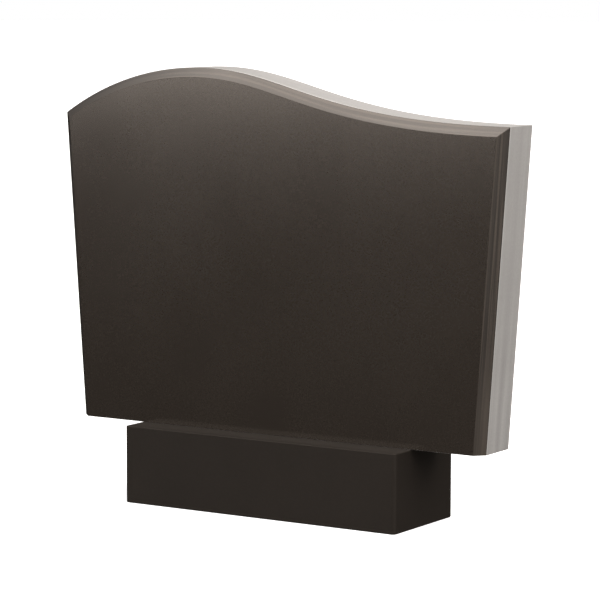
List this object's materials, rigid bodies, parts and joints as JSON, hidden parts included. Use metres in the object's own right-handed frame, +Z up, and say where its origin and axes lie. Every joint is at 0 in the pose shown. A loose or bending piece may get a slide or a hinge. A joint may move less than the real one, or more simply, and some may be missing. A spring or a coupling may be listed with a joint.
{
  "type": "headstone",
  "caption": "Upright stone tablet with an off-centre wave top, chamfered polished face and paler honed edges, standing on a low rectangular plinth.",
  "frame": {"origin": "middle of the plinth's underside, which is the bottom centre of the whole stone", "axes": "+Z up, +X along the width towards the low shoulder, -Y out of the polished face"},
  "size_m": [0.984, 0.215, 0.8393],
  "materials": {
    "tablet_stone": "polished dark brown-black face and chamfers; paler grey honed sides, top and back",
    "plinth_stone": "polished dark brown-black stone with eased edges, sawn underneath"
  },
  "bodies": {
    "root": {"tablet": "tablet_stone", "plinth": "plinth_stone"}
  },
  "joints": []
}
